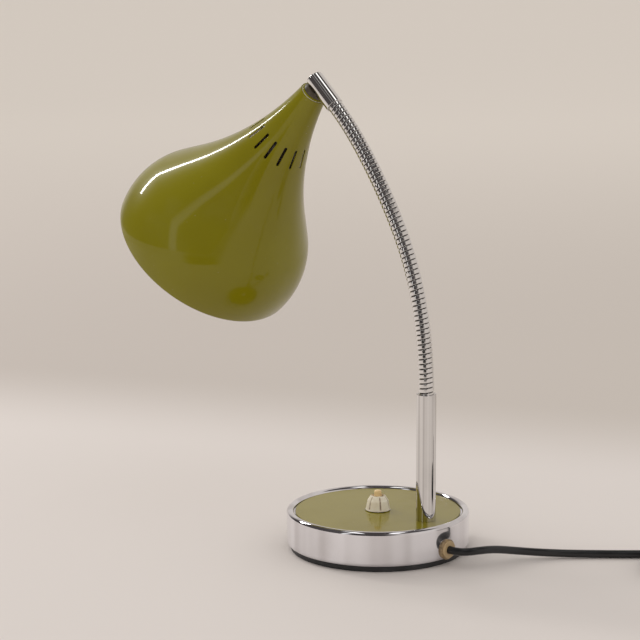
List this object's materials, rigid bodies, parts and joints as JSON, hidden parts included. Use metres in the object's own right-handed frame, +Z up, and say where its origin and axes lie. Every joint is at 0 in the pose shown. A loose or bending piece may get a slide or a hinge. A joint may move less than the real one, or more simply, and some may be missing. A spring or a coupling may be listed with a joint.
{
  "type": "desk lamp",
  "caption": "Desk lamp: round weighted base with a push switch, upright chrome stem, bendable wound gooseneck and a spun bell shade, on a mains cord with a plug.",
  "frame": {"origin": "middle of the round base's underside, on the table", "axes": "+Z up; +X from the base's middle towards the cord's exit and the stem; the neck leans over to -X, where the shade hangs"},
  "size_m": [0.5585, 0.3345, 0.3866],
  "materials": {
    "chrome": "polished",
    "green_enamel": "glossy enamel",
    "cast_iron": "as cast",
    "steel": "zinc plated",
    "black_rubber": "matte",
    "brass": "plain",
    "dark_moulding": "moulded",
    "ivory_moulding": "moulded",
    "ochre_plastic": "moulded",
    "tan_plastic": "moulded",
    "porcelain": "glazed",
    "black_plastic": "moulded",
    "opal_glass": "opal",
    "aluminium": "rolled"
  },
  "bodies": {
    "base": {"base_shell": "chrome", "top_plate": "green_enamel", "base_weight": "cast_iron", "bottom_cover": "steel", "foot_ring": "black_rubber", "cover_screws": "steel", "stem_tube": "chrome", "stem_plug": "steel", "stem_pipe": "steel", "stem_washer": "steel", "stem_nut": "steel", "switch_body": "dark_moulding", "switch_bushing": "brass", "switch_spring": "steel", "switch_terminals": "brass", "switch_collar": "ivory_moulding", "cord_collar": "tan_plastic", "cord_in_base": "black_rubber", "cord_clamp": "dark_moulding", "clamp_screws": "steel", "connector_block": "ivory_moulding", "base_wires": "black_plastic", "lamp_wires": "black_plastic", "neck_foot": "chrome", "table_cord": "black_rubber", "cord_coil": "black_rubber", "cord_tail": "black_rubber", "plug_boot": "black_rubber", "plug_body": "black_plastic", "plug_pins": "brass", "plug_cord_end": "black_rubber"},
    "button": {"switch_button": "ochre_plastic"},
    "neck_01": {"neck_section_01": "chrome"},
    "neck_02": {"neck_section_02": "chrome"},
    "neck_03": {"neck_section_03": "chrome"},
    "neck_04": {"neck_section_04": "chrome"},
    "neck_05": {"neck_section_05": "chrome"},
    "neck_06": {"neck_section_06": "chrome"},
    "neck_07": {"neck_section_07": "chrome"},
    "neck_08": {"neck_section_08": "chrome"},
    "neck_09": {"neck_section_09": "chrome"},
    "neck_10": {"neck_section_10": "chrome"},
    "neck_11": {"neck_section_11": "chrome"},
    "neck_12": {"neck_section_12": "chrome"},
    "head": {"neck_tip": "chrome", "end_sleeve": "chrome", "head_pipe": "steel", "seat_washer": "black_rubber", "shade": "green_enamel", "shade_nut": "brass", "holder_cap": "dark_moulding", "holder_body": "dark_moulding", "holder_ring": "dark_moulding", "holder_insert": "porcelain", "holder_shell": "brass", "holder_contact": "brass", "bulb_cap": "aluminium", "bulb_glass": "opal_glass"}
  },
  "joints": [
    {"name": "switch_press", "type": "slide", "parent": "base", "child": "button", "axis": [0, 0, -1], "range_m": [0, 0.003], "stiffness_N_per_m": 400, "springref_m": -0.002, "deforming": ["switch_spring"]},
    {"name": "neck_bend_01", "type": "hinge", "parent": "base", "child": "neck_01", "pos_m": [0.04869, 0.004, 0.14475], "axis": [0, -1, 0], "range_deg": [-13.8, 6.5], "deforming": ["lamp_wires"]},
    {"name": "neck_sway_02", "type": "hinge", "parent": "neck_01", "child": "neck_02", "pos_m": [0.04759, 0.004, 0.16437], "axis": [0.9963, 0, 0.0857], "range_deg": [-10.1, 10.1]},
    {"name": "neck_bend_03", "type": "hinge", "parent": "neck_02", "child": "neck_03", "pos_m": [0.04532, 0.004, 0.18388], "axis": [0, -1, 0], "range_deg": [-13.8, 6.5]},
    {"name": "neck_bend_04", "type": "hinge", "parent": "neck_03", "child": "neck_04", "pos_m": [0.04186, 0.004, 0.20322], "axis": [0, -1, 0], "range_deg": [-13.8, 6.5]},
    {"name": "neck_sway_05", "type": "hinge", "parent": "neck_04", "child": "neck_05", "pos_m": [0.03691, 0.004, 0.22223], "axis": [0.9568, 0, 0.2908], "range_deg": [-10.1, 10.1]},
    {"name": "neck_bend_06", "type": "hinge", "parent": "neck_05", "child": "neck_06", "pos_m": [0.03044, 0.004, 0.24078], "axis": [0, -1, 0], "range_deg": [-13.8, 6.5]},
    {"name": "neck_bend_07", "type": "hinge", "parent": "neck_06", "child": "neck_07", "pos_m": [0.02249, 0.004, 0.25874], "axis": [0, -1, 0], "range_deg": [-13.8, 6.5]},
    {"name": "neck_bend_08", "type": "hinge", "parent": "neck_07", "child": "neck_08", "pos_m": [0.01318, 0.004, 0.27604], "axis": [0, -1, 0], "range_deg": [-13.8, 6.5]},
    {"name": "neck_sway_09", "type": "hinge", "parent": "neck_08", "child": "neck_09", "pos_m": [0.00302, 0.004, 0.29286], "axis": [0.8439, 0, 0.5364], "range_deg": [-10.1, 10.1]},
    {"name": "neck_bend_10", "type": "hinge", "parent": "neck_09", "child": "neck_10", "pos_m": [-0.00789, 0.004, 0.3092], "axis": [0, -1, 0], "range_deg": [-13.8, 6.5]},
    {"name": "neck_bend_11", "type": "hinge", "parent": "neck_10", "child": "neck_11", "pos_m": [-0.01954, 0.004, 0.32502], "axis": [0, -1, 0], "range_deg": [-13.8, 6.5]},
    {"name": "neck_sway_12", "type": "hinge", "parent": "neck_11", "child": "neck_12", "pos_m": [-0.03196, 0.004, 0.34025], "axis": [0.7506, 0, 0.6607], "range_deg": [-10.1, 10.1]},
    {"name": "neck_bend_13", "type": "hinge", "parent": "neck_12", "child": "head", "pos_m": [-0.04549, 0.004, 0.3545], "axis": [0, -1, 0], "range_deg": [-13.8, 6.5]}
  ]
}
